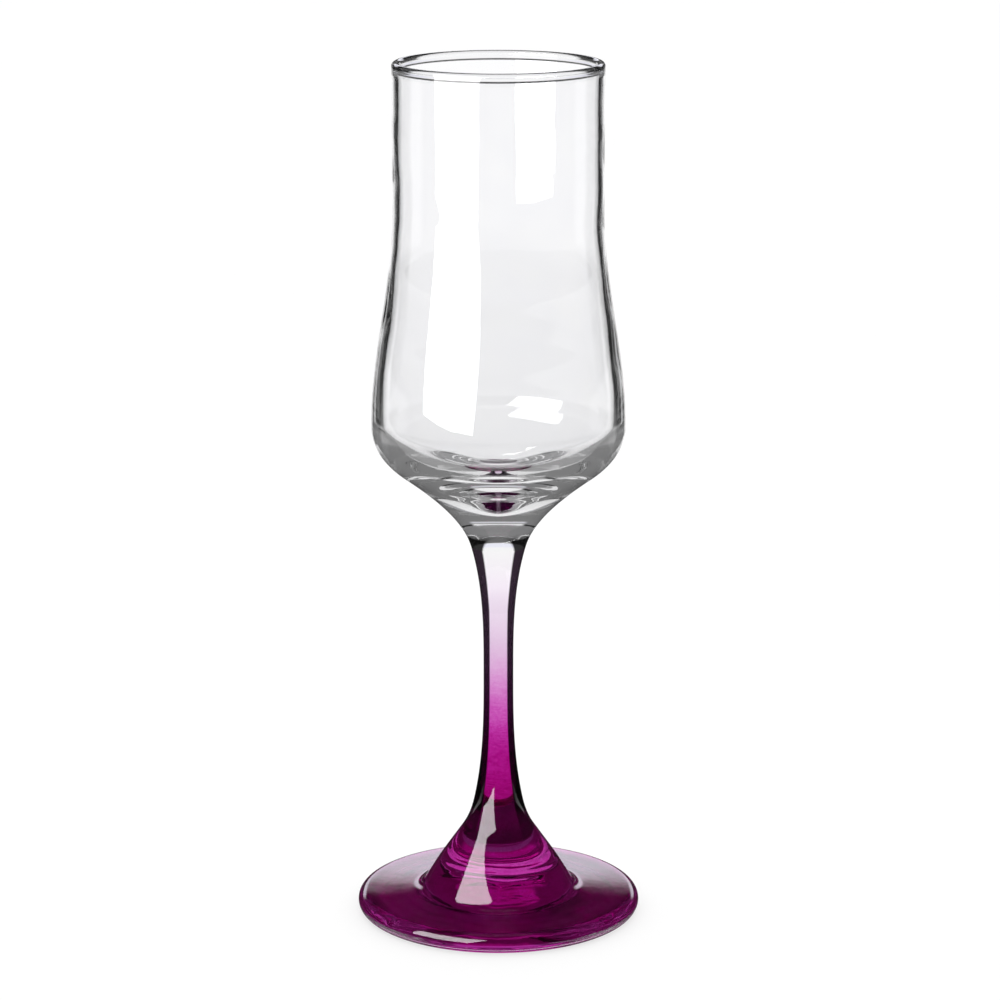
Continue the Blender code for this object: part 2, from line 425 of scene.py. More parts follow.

# %% [markdown]
# ## Painted dark sides
# Along the sides of a glass rod the light comes from far round the room, where nothing is lit, so they
# look dark from anywhere. A dark room could do that alone, but the table must be white in every view.
# So the glass's colour is darkened as painted shade where Layer Weight says that an upright wall is
# turned aside. Flared walls, which lean, get the painted shade a little further round.

# %% How far a wall is turned aside
def turned_aside(tree):
    """How far an upright wall is turned aside from the line of sight: 0 face on, 1 edge on.

    This is 1 - cos(turn). The line of sight has cos(turn) x cos(rise) along the wall's normal and
    sin(rise) along Z, so cos(turn) = along / sqrt(1 - up x up), from whatever height it comes.
    """
    zenith = add(tree, "ShaderNodeCombineXYZ", {"Z": 1.0}).outputs[0]
    along = add(tree, "ShaderNodeLayerWeight", {"Blend": 0.5}).outputs["Facing"]
    along = add(tree, "ShaderNodeMath", {0: 1.0, 1: along}, operation="SUBTRACT").outputs[0]
    up = add(tree, "ShaderNodeLayerWeight", {"Blend": 0.5, "Normal": zenith}).outputs["Facing"]
    up = add(tree, "ShaderNodeMath", {0: 1.0, 1: up}, operation="SUBTRACT").outputs[0]
    level = add(tree, "ShaderNodeMath", {0: up, 1: up}, operation="MULTIPLY").outputs[0]
    level = add(tree, "ShaderNodeMath", {0: 1.0, 1: level}, operation="SUBTRACT").outputs[0]
    level = add(tree, "ShaderNodeMath", {0: level}, operation="SQRT").outputs[0]
    turn = add(tree, "ShaderNodeMath", {0: along, 1: level}, operation="DIVIDE").outputs[0]
    return add(tree, "ShaderNodeMath", {0: 1.0, 1: turn}, operation="SUBTRACT").outputs[0]


# Where the painted shade starts and is full, and the light it leaves in red, green and blue.
SIDE_FROM, SIDE_TO = 0.158, 0.21
SIDE_PAINTED_SHADE = (0.0012, 0.0005, 0.0012)
FLARED = 0.10
print("sides turn dark from", round(math.degrees(math.acos(1 - SIDE_FROM))), "degrees aside")

# %% [markdown]
# ## Blown glass
# The bowl is fire-polished, so it has no grain: the eye gets sharp reflections, a faint swirl in what
# lies behind from streaks about 8 mm wide in the melt, and here and there a slight smear. The lip is a
# thin round bead, and a bead of glass is edged by two dark lines, where it mirrors the dark room. Those
# lines could be left to the studio, but they are thinner than a lamp's edge is sharp, so they are
# painted shade in the glass's colour, as are the dark sides just above the weld.

# %% Blown soda-lime glass: streaks and smears
GLASS_IOR = 1.52
STREAK = 8 * MM
SMEAR = 14 * MM
SMEAR_FROM, SMEAR_TO = 0.55, 0.8
SMEAR_ROUGHNESS = 0.05

clear_glass, output = new_material("blown_soda_lime_glass")
tree = clear_glass.node_tree
place = add(tree, "ShaderNodeTexCoord").outputs["Object"]
height = add(tree, "ShaderNodeSeparateXYZ", {"Vector": place}).outputs["Z"]
streaks = add(tree, "ShaderNodeTexNoise", {"Vector": place, "Scale": 1 / STREAK, "Detail": 2.0})
smears = add(tree, "ShaderNodeTexNoise", {"Vector": place, "Scale": 1 / SMEAR, "Detail": 5.0,
                                          "Roughness": 0.6})
tint = add(tree, "ShaderNodeMix", {0: streaks.outputs[0], 6: linear("#FFFFFF"), 7: linear("#FBFBFD")},
           data_type="RGBA")
dull = add(tree, "ShaderNodeMapRange", {"Value": smears.outputs[0], "From Min": SMEAR_FROM,
                                        "From Max": SMEAR_TO, "To Min": 0.0, "To Max": SMEAR_ROUGHNESS})
print("streaks every", round(STREAK / MM), "mm, smears every", round(SMEAR / MM), "mm")

# %% Painted dark sides where the bowl runs into the stem
SIDES_FULL, SIDES_END = WELD_TOP + 3 * MM, WELD_TOP + 5 * MM

# Painted shade: the bowl's colour goes dark where its wall just above the weld is turned aside.
side = add(tree, "ShaderNodeMapRange", {
    "Value": turned_aside(tree), "From Min": SIDE_FROM + FLARED, "From Max": SIDE_TO + FLARED,
    "To Min": 1.0, "To Max": SIDE_PAINTED_SHADE[0]}, interpolation_type="SMOOTHSTEP")
on_neck = add(tree, "ShaderNodeMapRange", {"Value": height, "From Min": SIDES_END, "From Max": SIDES_FULL})
from_inside = add(tree, "ShaderNodeNewGeometry").outputs["Backfacing"]
on_neck = add(tree, "ShaderNodeMix", {0: from_inside, 2: on_neck.outputs[0], 3: 0.0})
light = add(tree, "ShaderNodeMix", {0: on_neck.outputs[0], 2: 1.0, 3: side.outputs[0]})
print("dark sides end", round((SIDES_END - WELD_TOP) / MM, 1), "mm above the weld")

# %% Painted shade: the lip's upper line, along the top of its bead
# It ends where the bead is seen along its length, at the two ends of the rim, which stay clear.
# How much light the lip's painted shade lines leave.
LIP_LINE_PAINTED_SHADE = 0.01
LINE_FROM, LINE_TO = 0.36, 0.46
LENGTHWISE_FROM, LENGTHWISE_TO = 0.80, 0.87
LIP_FROM, LIP_TO = RIM_TOP - 1.3 * MM, RIM_TOP - 1.0 * MM

facing = add(tree, "ShaderNodeLayerWeight", {"Blend": 0.5}).outputs["Facing"]
top = add(tree, "ShaderNodeMapRange", {"Value": facing, "From Min": LINE_FROM, "From Max": LINE_TO},
          interpolation_type="SMOOTHSTEP")
past = add(tree, "ShaderNodeMapRange", {
    "Value": facing, "From Min": LENGTHWISE_FROM, "From Max": LENGTHWISE_TO,
    "To Min": 1.0, "To Max": 0.0}, interpolation_type="SMOOTHSTEP")
on_lip = add(tree, "ShaderNodeMapRange", {"Value": height, "From Min": LIP_FROM, "From Max": LIP_TO})
on_lip = add(tree, "ShaderNodeMix", {0: from_inside, 2: on_lip.outputs[0], 3: 0.0})
top = add(tree, "ShaderNodeMath", {0: top.outputs[0], 1: past.outputs[0]}, operation="MULTIPLY")
top = add(tree, "ShaderNodeMath", {0: top.outputs[0], 1: on_lip.outputs[0]}, operation="MULTIPLY")
print("bead", round(2 * LIP / MM, 1), "mm thick")

# %% Painted shade: the lip's lower line, where the bead runs into the inner wall
LINE_LOW = (RIM_TOP - 2.5 * MM, RIM_TOP - 2.35 * MM)
LINE_HIGH = (RIM_TOP - 2.05 * MM, RIM_TOP - 1.9 * MM)
INNER_SIDE = (RIM_RADIUS - 1.2 * MM, RIM_RADIUS - 0.8 * MM)

across = add(tree, "ShaderNodeVectorMath", {0: place, 1: (1.0, 1.0, 0.0)}, operation="MULTIPLY")
across = add(tree, "ShaderNodeVectorMath", {0: across.outputs[0]}, operation="LENGTH")
inner = add(tree, "ShaderNodeMapRange", {
    "Value": across.outputs["Value"], "From Min": INNER_SIDE[0], "From Max": INNER_SIDE[1],
    "To Min": 1.0, "To Max": 0.0})
below = add(tree, "ShaderNodeMapRange", {"Value": height, "From Min": LINE_LOW[0], "From Max": LINE_LOW[1]})
above = add(tree, "ShaderNodeMapRange", {"Value": height, "From Min": LINE_HIGH[0],
                                         "From Max": LINE_HIGH[1], "To Min": 1.0, "To Max": 0.0})
under = add(tree, "ShaderNodeMath", {0: below.outputs[0], 1: above.outputs[0]}, operation="MULTIPLY")
under = add(tree, "ShaderNodeMath", {0: under.outputs[0], 1: inner.outputs[0]}, operation="MULTIPLY")
# The upper and lower painted shade lines together.
lines = add(tree, "ShaderNodeMath", {0: top.outputs[0], 1: under.outputs[0]}, operation="MAXIMUM")
painted_lip_shade = add(tree, "ShaderNodeMapRange", {"Value": lines.outputs[0], "To Min": 1.0, "To Max": LIP_LINE_PAINTED_SHADE})
light = add(tree, "ShaderNodeMath", {0: light.outputs[0], 1: painted_lip_shade.outputs[0]}, operation="MULTIPLY")
# The streak tint is multiplied by the painted shade of the dark sides and the lip's two lines.
tint = add(tree, "ShaderNodeMix", {0: 1.0, 6: tint.outputs[2], 7: light.outputs[0]}, data_type="RGBA",
           blend_type="MULTIPLY")
print("lower line", round((LINE_HIGH[1] - LINE_LOW[0]) / MM, 2), "mm wide")

# %% Blown glass relief and shader
# Shaping leaves soft rings about 1.8 mm apart on the heavy base, far shallower than a hair is thick.
RIPPLE = 1.8 * MM
RINGS = 0.05
RELIEF = 0.015 * MM
RINGS_FULL, RINGS_END = WELD_TOP + 22 * MM, WELD_TOP + 27 * MM

on_base = add(tree, "ShaderNodeMapRange", {"Value": height, "From Min": RINGS_END, "From Max": RINGS_FULL})
turns = add(tree, "ShaderNodeMath", {0: height, 1: 2 * math.pi / RIPPLE}, operation="MULTIPLY")
rings = add(tree, "ShaderNodeMath", {0: turns.outputs[0]}, operation="SINE")
rings = add(tree, "ShaderNodeMath", {0: rings.outputs[0], 1: on_base.outputs[0]}, operation="MULTIPLY")
relief = add(tree, "ShaderNodeMath", {0: rings.outputs[0], 1: RINGS, 2: streaks.outputs[0]},
             operation="MULTIPLY_ADD")
bump = add(tree, "ShaderNodeBump", {"Height": relief.outputs[0], "Distance": RELIEF, "Strength": 1.0})
shader = add(tree, "ShaderNodeBsdfPrincipled", {
    "Base Color": tint.outputs[2], "Roughness": dull.outputs[0], "IOR": GLASS_IOR,
    "Transmission Weight": 1.0, "Normal": bump.outputs[0]})
tree.links.new(shader.outputs[0], output.inputs["Surface"])
print(clear_glass.name, len(tree.nodes), "nodes")

# %% [markdown]
# ## Magenta lacquer
# The spray is full on the foot and thins out up the stem, so its share of full thickness is an S-curve
# of the height. A dye takes a fixed part of the light per thickness, so each colour is left with
# exp(-density x share). A colour ramp could fade from magenta to white, but it would miss the pink that
# a thin coat gives. The gun's droplets show as fine speckle where the coat is thin, and the eye gets a
# clear, wet shine on a deep colour.

# %% Lacquer thickness
COAT_MIDDLE_Z = 47.7 * MM
COAT_FADE = 7.76 * MM

lacquered, output = new_material("magenta_lacquer_on_glass")
tree = lacquered.node_tree
place = add(tree, "ShaderNodeTexCoord").outputs["Object"]
height = add(tree, "ShaderNodeSeparateXYZ", {"Vector": place}).outputs["Z"]
above = add(tree, "ShaderNodeMath", {0: height, 1: COAT_MIDDLE_Z}, operation="SUBTRACT")
above = add(tree, "ShaderNodeMath", {0: above.outputs[0], 1: COAT_FADE}, operation="DIVIDE")
growth = add(tree, "ShaderNodeMath", {0: above.outputs[0]}, operation="EXPONENT")
growth = add(tree, "ShaderNodeMath", {0: growth.outputs[0], 1: 1.0}, operation="ADD")
share = add(tree, "ShaderNodeMath", {0: 1.0, 1: growth.outputs[0]}, operation="DIVIDE")
print("half the coat is left", round(COAT_MIDDLE_Z / MM, 1), "mm above the table")

# %% Droplets and runs
# Real droplets are about 0.05 mm. These are drawn at 0.4 mm, so that they show.
DROPLET = 0.4 * MM
RUN = 7 * MM
NOISE_LOW, NOISE_HIGH = 0.3, 0.7
SPECKLE = (0.8, 1.2)
MOTTLE = (0.85, 1.15)

droplets = add(tree, "ShaderNodeTexNoise", {"Vector": place, "Scale": 1 / DROPLET, "Detail": 1.0})
runs = add(tree, "ShaderNodeTexNoise", {"Vector": place, "Scale": 1 / RUN, "Detail": 3.0})
speckle = add(tree, "ShaderNodeMapRange", {
    "Value": droplets.outputs[0], "From Min": NOISE_LOW, "From Max": NOISE_HIGH,
    "To Min": SPECKLE[0], "To Max": SPECKLE[1]})
mottle = add(tree, "ShaderNodeMapRange", {
    "Value": runs.outputs[0], "From Min": NOISE_LOW, "From Max": NOISE_HIGH,
    "To Min": MOTTLE[0], "To Max": MOTTLE[1]})
coat = add(tree, "ShaderNodeMath", {0: share.outputs[0], 1: speckle.outputs[0]}, operation="MULTIPLY")
coat = add(tree, "ShaderNodeMath", {0: coat.outputs[0], 1: mottle.outputs[0]}, operation="MULTIPLY")
print("runs every", round(RUN / MM), "mm")

# %% Painted dark sides of the stem
FLARE_REACH = 16 * MM
STEM_SIDES_FROM, STEM_SIDES_TO = WELD_LOW - 14 * MM, WELD_LOW - 4 * MM

# Painted shade: the stem's colour goes dark where its side is turned aside, further round where it flares.
flared = add(tree, "ShaderNodeMapRange", {"Value": height, "From Min": WELD_TOP - FLARE_REACH,
                                          "From Max": WELD_TOP, "To Min": 0.0, "To Max": FLARED})
aside = add(tree, "ShaderNodeMath", {0: turned_aside(tree), 1: flared.outputs[0]}, operation="SUBTRACT")
side = add(tree, "ShaderNodeMapRange", {"Value": aside.outputs[0], "From Min": SIDE_FROM,
                                        "From Max": SIDE_TO}, interpolation_type="SMOOTHSTEP")
on_stem = add(tree, "ShaderNodeMapRange", {"Value": height, "From Min": STEM_SIDES_FROM,
                                           "From Max": STEM_SIDES_TO})
dark = add(tree, "ShaderNodeMath", {0: on_stem.outputs[0], 1: side.outputs[0]}, operation="MULTIPLY")
from_inside = add(tree, "ShaderNodeNewGeometry").outputs["Backfacing"]
dark = add(tree, "ShaderNodeMix", {0: from_inside, 2: dark.outputs[0], 3: 0.0})
print("dark sides start", round(STEM_SIDES_FROM / MM, 1), "mm above the table")

# %% Lacquer colour, with the painted shade of the dark sides, and shader
COAT_DENSITY = (0.94, 6.35, 1.70)
VARNISH_FADE = 14 * MM
PEEL = 0.02 * MM

channels = {}
# Each colour is what the dye leaves, times the painted shade of the stem's dark sides.
for number, density in enumerate(COAT_DENSITY):
    depth = add(tree, "ShaderNodeMath", {0: coat.outputs[0], 1: -density}, operation="MULTIPLY")
    left = add(tree, "ShaderNodeMath", {0: depth.outputs[0]}, operation="EXPONENT")
    light = add(tree, "ShaderNodeMapRange", {"Value": dark.outputs[0], "To Min": 1.0,
                                             "To Max": SIDE_PAINTED_SHADE[number]})
    channels[number] = add(tree, "ShaderNodeMath", {0: left.outputs[0], 1: light.outputs[0]},
                           operation="MULTIPLY").outputs[0]
dye_and_shade = add(tree, "ShaderNodeCombineColor", channels)
sprayed = add(tree, "ShaderNodeMapRange", {"Value": height, "From Min": WELD_TOP,
                                           "From Max": WELD_TOP - VARNISH_FADE})
varnish_and_shade = add(tree, "ShaderNodeMix", {0: sprayed.outputs[0], 6: dye_and_shade.outputs[0], 7: linear("#FCF3FF")},
              data_type="RGBA", blend_type="MULTIPLY")
peel = add(tree, "ShaderNodeBump", {"Height": runs.outputs[0], "Distance": PEEL, "Strength": 1.0})
shader = add(tree, "ShaderNodeBsdfPrincipled", {
    "Base Color": varnish_and_shade.outputs[2], "Roughness": 0.0, "IOR": GLASS_IOR, "Transmission Weight": 1.0,
    "Normal": peel.outputs[0]})
tree.links.new(shader.outputs[0], output.inputs["Surface"])
print(lacquered.name, len(tree.nodes), "nodes")

# %% [markdown]
# ## Bare pressed glass and fused welds
# The foot stands on a tray while it is sprayed, so the lower half of its edge and its underside stay
# bare. That is plain pressed glass with shallow dimples about 3 mm wide, so the eye sees a faint ripple
# in the table below it. At a weld, fused glass has no surface at all, and the eye sees no line. The two
# faces there could be cut away, but the pieces would no longer be closed, so both let everything
# straight through.

# %% Bare pressed glass, and weld faces
DIMPLE = 3 * MM
DIMPLE_DEPTH = 0.03 * MM

bare, output = new_material("pressed_soda_lime_glass")
tree = bare.node_tree
place = add(tree, "ShaderNodeTexCoord").outputs["Object"]
dimples = add(tree, "ShaderNodeTexNoise", {"Vector": place, "Scale": 1 / DIMPLE, "Detail": 2.0})
tint = add(tree, "ShaderNodeMix", {0: dimples.outputs[0], 6: linear("#FFFFFF"), 7: linear("#F0EEF2")},
           data_type="RGBA")
bump = add(tree, "ShaderNodeBump", {"Height": dimples.outputs[0], "Distance": DIMPLE_DEPTH,
                                    "Strength": 1.0})
shader = add(tree, "ShaderNodeBsdfPrincipled", {
    "Base Color": tint.outputs[2], "Roughness": 0.0, "IOR": GLASS_IOR, "Transmission Weight": 1.0,
    "Normal": bump.outputs[0]})
tree.links.new(shader.outputs[0], output.inputs["Surface"])

fused, output = new_material("fused_weld")
fused.node_tree.links.new(
    add(fused.node_tree, "ShaderNodeBsdfTransparent").outputs[0], output.inputs["Surface"])
print("finishes", clear_glass.name, lacquered.name, bare.name, fused.name)

# %% [markdown]
# ## Dressing the pieces
# Each turned piece has up to three finishes: its outside, its weld faces and its bare underside. They
# could be put on face by face, but the profile already numbers its rings, so three materials in that
# order are enough. Each piece then takes the place of its measured solid, and all ride on one body.

# %% Dressing the pieces
for piece, outside, node, slot_name in (
        (bowl, clear_glass, "bowl", "clear_glass"),
        (stem, lacquered, "stem", "fading_glass"),
        (foot, lacquered, "foot", "magenta_glass")):
    for finish in (outside, fused, bare):
        piece.data.materials.append(finish)
    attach(piece, "root")
    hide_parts(node)
    print(piece.name, "is dressed in", outside.name)

# %% [markdown]
# ## Studio
# Glass shows its room, so the room is part of its finish. A studio for glassware has white behind the
# glass and dark cards beside it, and the cards draw the dark lines that give glass its outline. Real
# cards could stand here too, but they would show and cast shadows. Instead, the table and the world
# answer each kind of ray. The camera sees plain white. Light that only passes through glass meets a
# white table, a little greyer near the glass. Light that was mirrored inside the glass meets white
# straight behind, a dark gap on both sides of that, and white again further round. Reflections off the
# outside meet a dim room, so they don't hide the colour.

# %% Which way a ray is heading
WHITE_FROM, WHITE_TO = math.cos(math.radians(25)), math.cos(math.radians(19))
GAP_FROM, GAP_TO = math.cos(math.radians(46)), math.cos(math.radians(54))


def straight_behind(tree, split):
    """How far a place lies towards straight behind, and how far past the gap beside that, both 0 to 1.

    Both are steps of cos(turn) = y / sqrt(x^2 + y^2). The place's level part (x, y, 0) comes third.
    """
    flat = add(tree, "ShaderNodeCombineXYZ", {"X": split.outputs["X"], "Y": split.outputs["Y"]}).outputs[0]
    unit = add(tree, "ShaderNodeVectorMath", {0: flat}, operation="NORMALIZE")
    ahead = add(tree, "ShaderNodeSeparateXYZ", {0: unit.outputs[0]}).outputs["Y"]
    share = add(tree, "ShaderNodeMapRange", {"Value": ahead, "From Min": WHITE_FROM, "From Max": WHITE_TO},
                interpolation_type="SMOOTHSTEP")
    aside = add(tree, "ShaderNodeMapRange", {"Value": ahead, "From Min": GAP_FROM, "From Max": GAP_TO},
                interpolation_type="SMOOTHSTEP")
    return share.outputs[0], aside.outputs[0], flat


print("gap beside the white from", round(math.degrees(math.acos(WHITE_FROM))), "to",
      round(math.degrees(math.acos(GAP_FROM))), "degrees")

# %% Table: its white, and the painted shade under the foot
# The table darkens a little towards the glass. Under the foot it has painted rings of shade, where the hub
# and the rim would keep the light off, with a brighter painted ring under the hub's toe, and behind the
# hub the painted shade is lifted, where the rim lets light in. Tones are by distance.
TABLE_WHITE = 0.93
TABLE_NEAR = 0.78
SHADE_FROM, SHADE_TO = 0.25, 0.75
SHADE_REACH = 40 * MM
PAINTED_UNDER_FOOT_TONES = (
    (0.1 * MM, 0.2), (14.5 * MM, 0.2), (16 * MM, 1.0), (18 * MM, 1.0), (20 * MM, 0.85), (30 * MM, 0.85),
    (32.5 * MM, 0.2), (36.5 * MM, 0.2), (39.9 * MM, 1.0))
PAST_HUB_FROM, PAST_HUB_TO = 20 * MM, 22 * MM
BACK_FROM, BACK_TO = -6 * MM, 8 * MM

table_white, output = new_material("white_table")
tree = table_white.node_tree
path = add(tree, "ShaderNodeLightPath")
split = add(tree, "ShaderNodeSeparateXYZ", {0: add(tree, "ShaderNodeTexCoord").outputs["Object"]})
behind, aside, flat = straight_behind(tree, split)
away = add(tree, "ShaderNodeVectorMath", {0: flat}, operation="LENGTH").outputs["Value"]
shade = add(tree, "ShaderNodeMapRange", {"Value": away, "From Min": SHADE_FROM, "From Max": SHADE_TO,
                                         "To Min": TABLE_NEAR, "To Max": TABLE_WHITE})
share = add(tree, "ShaderNodeMath", {0: away, 1: SHADE_REACH}, operation="DIVIDE")
under = add(tree, "ShaderNodeValToRGB", {0: share.outputs[0]})
stops = under.color_ramp.elements
for distance, tone in PAINTED_UNDER_FOOT_TONES:
    stops.new(distance / SHADE_REACH).color = (tone, tone, tone, 1.0)
stops.remove(stops[0])  # the ramp's own black stop; its own white stop at the end stays
past_hub = add(tree, "ShaderNodeMapRange", {"Value": away, "From Min": PAST_HUB_FROM,
                                            "From Max": PAST_HUB_TO})
back = add(tree, "ShaderNodeMapRange", {"Value": split.outputs["Y"], "From Min": BACK_FROM,
                                        "From Max": BACK_TO})
back_rim = add(tree, "ShaderNodeMath", {0: back.outputs[0], 1: past_hub.outputs[0]}, operation="MULTIPLY")
under = add(tree, "ShaderNodeMix", {0: back_rim.outputs[0], 2: under.outputs[0], 3: 1.0})
shade = add(tree, "ShaderNodeMath", {0: shade.outputs[0], 1: under.outputs[0]}, operation="MULTIPLY")
shade = add(tree, "ShaderNodeMix", {0: path.outputs["Is Camera Ray"], 2: shade.outputs[0], 3: TABLE_WHITE})
print("shade reaches", round(SHADE_REACH / MM), "mm from the axis")

# %% Table: what light mirrored in the glass meets
INSIDE_TABLE = 0.02
SIDE_TABLE = 0.88
NEAR_ROOM = 0.35
UNDER_FOOT = 0.8
UNDER_FOOT_FULL, UNDER_FOOT_END = 28 * MM, 34 * MM
OPEN_FROM, OPEN_TO = 0.06, 0.12
FAR_FROM, FAR_TO = 0.34, 0.46

far = add(tree, "ShaderNodeMapRange", {"Value": away, "From Min": FAR_FROM, "From Max": FAR_TO})
open_table = add(tree, "ShaderNodeMapRange", {"Value": away, "From Min": OPEN_FROM, "From Max": OPEN_TO})
open_table = add(tree, "ShaderNodeMath", {0: open_table.outputs[0], 1: back.outputs[0]},
                 operation="MAXIMUM")
close = add(tree, "ShaderNodeMapRange", {"Value": open_table.outputs[0], "To Min": INSIDE_TABLE,
                                         "To Max": NEAR_ROOM})
beside = add(tree, "ShaderNodeMapRange", {"Value": aside, "To Min": INSIDE_TABLE, "To Max": SIDE_TABLE})
beside = add(tree, "ShaderNodeMix", {0: far.outputs[0], 2: close.outputs[0], 3: beside.outputs[0]})
room = add(tree, "ShaderNodeMapRange", {"Value": behind, "To Min": beside.outputs[0],
                                        "To Max": TABLE_WHITE})
below_foot = add(tree, "ShaderNodeMapRange", {"Value": away, "From Min": UNDER_FOOT_END,
                                              "From Max": UNDER_FOOT_FULL})
inside = add(tree, "ShaderNodeMix", {0: below_foot.outputs[0], 2: room.outputs[0], 3: UNDER_FOOT})
print("the far table starts", FAR_FROM, "m from the axis")

# %% Table: what the outside mirrors
OUTSIDE_ROOM = 0.012
MIRROR_FULL, MIRROR_END = 1.8, 2.4
FRONT_FROM, FRONT_TO = -0.1, 0.1

within = add(tree, "ShaderNodeMapRange", {"Value": away, "From Min": MIRROR_END, "From Max": MIRROR_FULL})
seen_far = add(tree, "ShaderNodeMath", {0: far.outputs[0], 1: within.outputs[0]}, operation="MULTIPLY")
at_back = add(tree, "ShaderNodeMapRange", {"Value": split.outputs["Y"], "From Min": FRONT_FROM,
                                           "From Max": FRONT_TO})
seen_far = add(tree, "ShaderNodeMath", {0: seen_far.outputs[0], 1: at_back.outputs[0]},
               operation="MULTIPLY")
outside = add(tree, "ShaderNodeMix", {0: seen_far.outputs[0], 2: OUTSIDE_ROOM, 3: room.outputs[0]})
print("the outside mirrors the table as far as", MIRROR_END, "m")

# %% Table: shader and top
# The camera sees mostly plain white, and a share of lit paper that keeps the shadow.
SEEN_GLOW = 0.7
TABLE = 4.0
AIR_GAP = 0.05 * MM

mirrored_once = add(tree, "ShaderNodeMath", {0: path.outputs["Glossy Depth"], 1: 0.5},
                    operation="GREATER_THAN")
through = add(tree, "ShaderNodeMath", {0: path.outputs["Transmission Depth"], 1: 0.5},
              operation="GREATER_THAN")
mirrored = add(tree, "ShaderNodeMix", {0: through.outputs[0], 2: outside.outputs[0], 3: inside.outputs[0]})
tone = add(tree, "ShaderNodeMix", {0: mirrored_once.outputs[0], 2: shade.outputs[0],
                                   3: mirrored.outputs[0]})
paper = add(tree, "ShaderNodeBsdfDiffuse", {"Color": tone.outputs[0]})
glow = add(tree, "ShaderNodeEmission", {"Color": linear("#FFFFFF"), "Strength": 1.0})
seen = add(tree, "ShaderNodeMath", {0: path.outputs["Is Camera Ray"], 1: SEEN_GLOW}, operation="MULTIPLY")
mix = add(tree, "ShaderNodeMixShader", {0: seen.outputs[0], 1: paper.outputs[0], 2: glow.outputs[0]})
tree.links.new(mix.outputs[0], output.inputs["Surface"])

mesh = bpy.data.meshes.new("table")
mesh.from_pydata([(-TABLE, -TABLE, 0), (TABLE, -TABLE, 0), (TABLE, TABLE, 0), (-TABLE, TABLE, 0)], [],
                 [(0, 1, 2, 3)])
mesh.materials.append(table_white)
table = bpy.data.objects.new("table", mesh)
table.location.z = -AIR_GAP
bpy.context.scene.collection.objects.link(table)
print("table", 2 * TABLE, "m wide,", len(tree.nodes), "nodes")

# %% [markdown]
# ## World
# The wall behind is white up to 19.5 degrees and dim above. A low panel stands in front of it and shows
# only in reflections: the far half of the foot's disc mirrors it. Backdrop and panel could be planes
# with lamps on them. As directions in the world they have no edge to walk past, and they light the
# table evenly.

# %% World: wall, and what light mirrored in the glass meets
WALL_TOP = math.sin(math.radians(19.5))
WALL_SOFT = 0.02
ABOVE_WALL = 0.15
INSIDE_SKY = 0.22
INSIDE_WALL = 0.7
RISE_FROM, RISE_TO = 0.06, 0.16
FALL_FROM, FALL_TO = 0.34, 0.5

world = bpy.data.worlds.new("studio")
bpy.context.scene.world = world
world.use_nodes = True
tree = world.node_tree
tree.nodes.clear()
output = add(tree, "ShaderNodeOutputWorld")
path = add(tree, "ShaderNodeLightPath")
split = add(tree, "ShaderNodeSeparateXYZ", {0: add(tree, "ShaderNodeTexCoord").outputs["Generated"]})
up = split.outputs["Z"]
wall = add(tree, "ShaderNodeMapRange", {
    "Value": up, "From Min": WALL_TOP - WALL_SOFT, "From Max": WALL_TOP + WALL_SOFT,
    "To Min": 1.0, "To Max": ABOVE_WALL}, interpolation_type="SMOOTHSTEP")
behind, _, _ = straight_behind(tree, split)
rise = add(tree, "ShaderNodeMapRange", {"Value": up, "From Min": RISE_FROM, "From Max": RISE_TO})
fall = add(tree, "ShaderNodeMapRange", {"Value": up, "From Min": FALL_TO, "From Max": FALL_FROM})
lit = add(tree, "ShaderNodeMath", {0: behind, 1: rise.outputs[0]}, operation="MULTIPLY")
lit = add(tree, "ShaderNodeMath", {0: lit.outputs[0], 1: fall.outputs[0]}, operation="MULTIPLY")
inside = add(tree, "ShaderNodeMapRange", {"Value": lit.outputs[0], "To Min": INSIDE_SKY,
                                          "To Max": INSIDE_WALL})
print("wall up to", round(math.degrees(math.asin(WALL_TOP)), 1), "degrees")

# %% World: the panel that the outside mirrors
PANEL = 2.6
PANEL_LOW, PANEL_FULL = 0.16, 0.21
PANEL_TOP_END, PANEL_TOP_FULL = WALL_TOP + 0.022, WALL_TOP - 0.035
PANEL_SIDE, PANEL_SIDE_FULL = 0.82, 0.90

low = add(tree, "ShaderNodeMapRange", {"Value": up, "From Min": PANEL_TOP_END, "From Max": PANEL_TOP_FULL},
          interpolation_type="SMOOTHSTEP")
ahead = add(tree, "ShaderNodeMapRange", {"Value": split.outputs["Y"], "From Min": PANEL_SIDE,
                                         "From Max": PANEL_SIDE_FULL}, interpolation_type="SMOOTHSTEP")
high = add(tree, "ShaderNodeMapRange", {"Value": up, "From Min": PANEL_LOW, "From Max": PANEL_FULL})
panel = add(tree, "ShaderNodeMath", {0: low.outputs[0], 1: ahead.outputs[0]}, operation="MULTIPLY")
panel = add(tree, "ShaderNodeMath", {0: panel.outputs[0], 1: high.outputs[0]}, operation="MULTIPLY")
outside = add(tree, "ShaderNodeMapRange", {"Value": panel.outputs[0], "To Min": OUTSIDE_ROOM,
                                           "To Max": PANEL})
cool = add(tree, "ShaderNodeMath", {0: panel.outputs[0], 1: path.outputs["Is Glossy Ray"]},
           operation="MULTIPLY")
colour = add(tree, "ShaderNodeMix", {0: cool.outputs[0], 6: linear("#FFFFFF"), 7: linear("#F4F4FF")},
             data_type="RGBA")
print("panel from", round(math.degrees(math.asin(PANEL_LOW)), 1), "degrees up")

# %% World: one level for each kind of ray
# On the table, LIGHT is the plain daylight of the room. Light that reaches the table through the glass
# gets LIGHT_UNDER, which leaves the shadow.
LIGHT = 1.1
LIGHT_UNDER = 0.04

